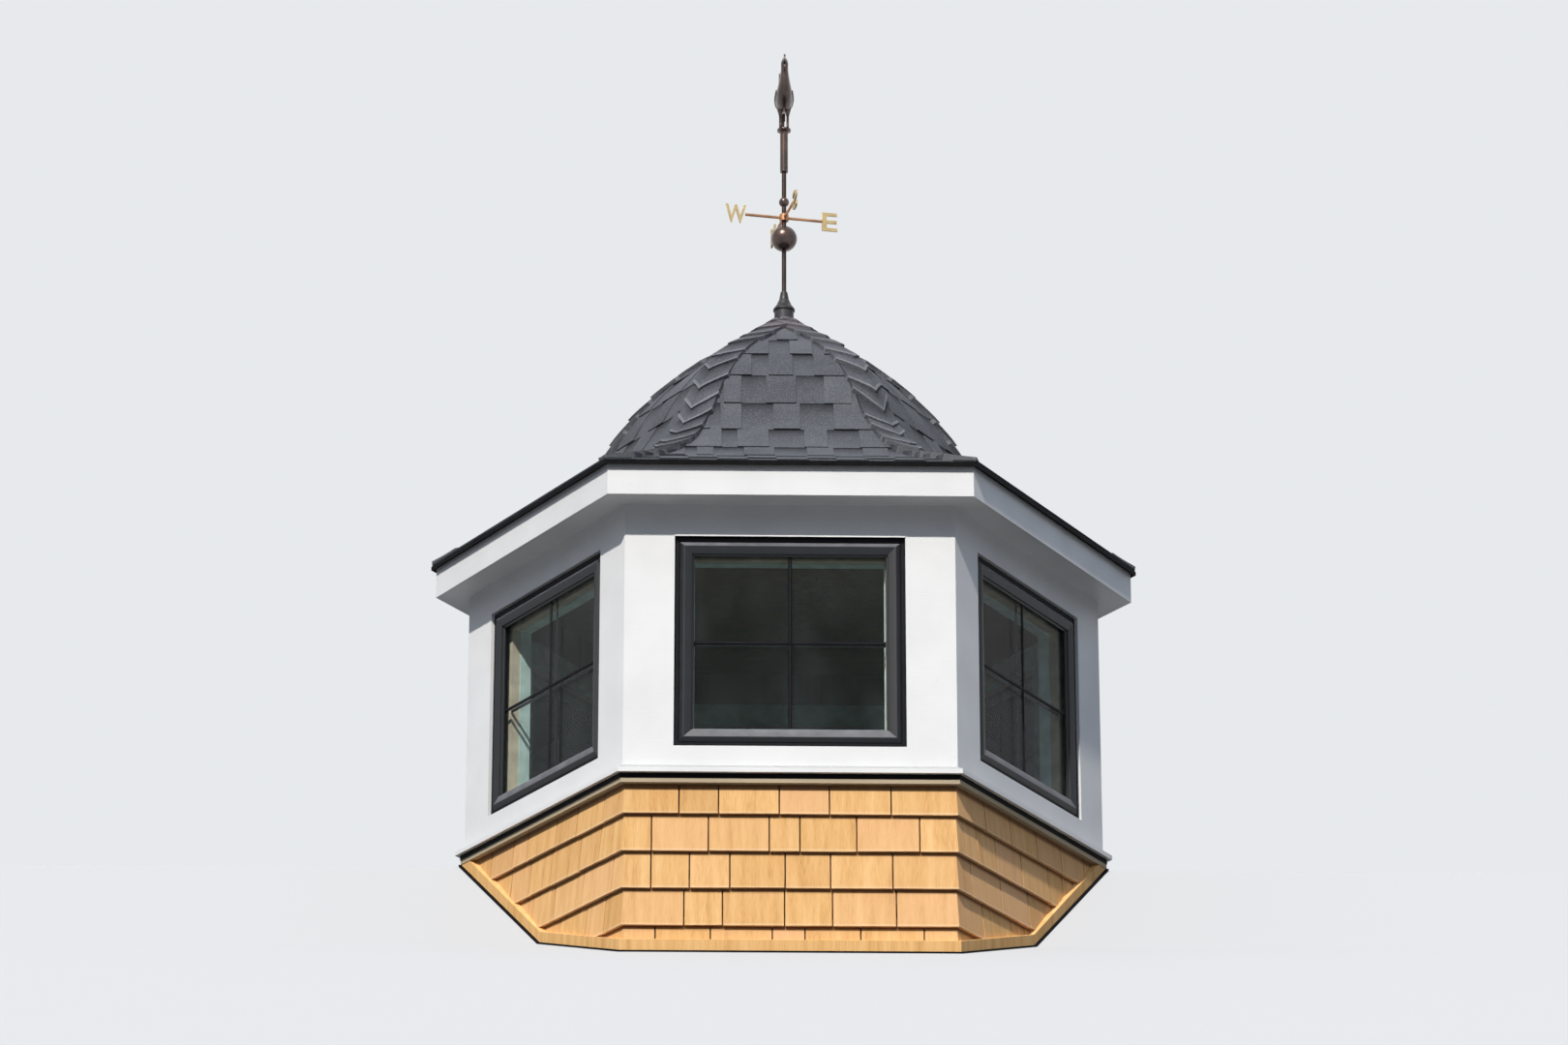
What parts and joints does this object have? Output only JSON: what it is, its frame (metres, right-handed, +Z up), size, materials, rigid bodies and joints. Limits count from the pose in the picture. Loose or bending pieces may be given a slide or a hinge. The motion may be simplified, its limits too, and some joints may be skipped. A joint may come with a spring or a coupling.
{
  "type": "hexagonal garage cupola with a weathervane",
  "caption": "Hexagonal roof cupola: shingled base cut to straddle a ridge, glazed lantern, bell-shaped shingled roof and a turning weathervane.",
  "frame": {"origin": "centre of the plan, level with the lowest edges of the base at front and back", "axes": "+X along the ridge it straddles, +Y to the back, +Z up along the spindle"},
  "size_m": [2.4238, 2.099, 3.5679],
  "materials": {
    "cedar": "fresh sawn cedar, unpainted",
    "white_trim": "smooth white paint",
    "framing": "sheathing outside, cream paint inside",
    "window_frame": "charcoal, satin",
    "glass": "clear double glazing",
    "roof_shingle": "mineral granules on asphalt, charcoal",
    "black_metal": "black, satin",
    "copper": "weathered copper",
    "dark_iron": "dark bronze, satin"
  },
  "bodies": {
    "cupola": {"base_flashing": "black_metal", "sill_flashing": "black_metal", "drip_edge": "black_metal", "foot_strips": "cedar", "bed_strip": "cedar", "front_wall": "framing", "front_shingles": "cedar", "front_window": "window_frame", "front_slope": "roof_shingle", "right_front_wall": "framing", "right_front_shingles": "cedar", "right_front_window": "window_frame", "right_front_slope": "roof_shingle", "right_back_wall": "framing", "right_back_shingles": "cedar", "right_back_window": "window_frame", "right_back_slope": "roof_shingle", "back_wall": "framing", "back_shingles": "cedar", "back_window": "window_frame", "back_slope": "roof_shingle", "left_back_wall": "framing", "left_back_shingles": "cedar", "left_back_window": "window_frame", "left_back_slope": "roof_shingle", "left_front_wall": "framing", "left_front_shingles": "cedar", "left_front_window": "window_frame", "left_front_slope": "roof_shingle", "sill": "white_trim", "corner_boards": "white_trim", "lower_rails": "white_trim", "head_boards": "white_trim", "ceiling": "white_trim", "soffit": "white_trim", "fascia": "white_trim", "window_panes": "glass", "hip_caps": "roof_shingle", "roof_cap": "copper", "spindle": "dark_iron", "balls": "copper", "direction_arms": "copper"},
    "vane": {"vane_sleeve": "copper", "vane_bird": "copper"}
  },
  "joints": [
    {"name": "vane_spin", "type": "hinge", "parent": "cupola", "child": "vane", "pos_m": [0, 0, 3.262], "axis": [0, 0, 1], "continuous": true}
  ]
}
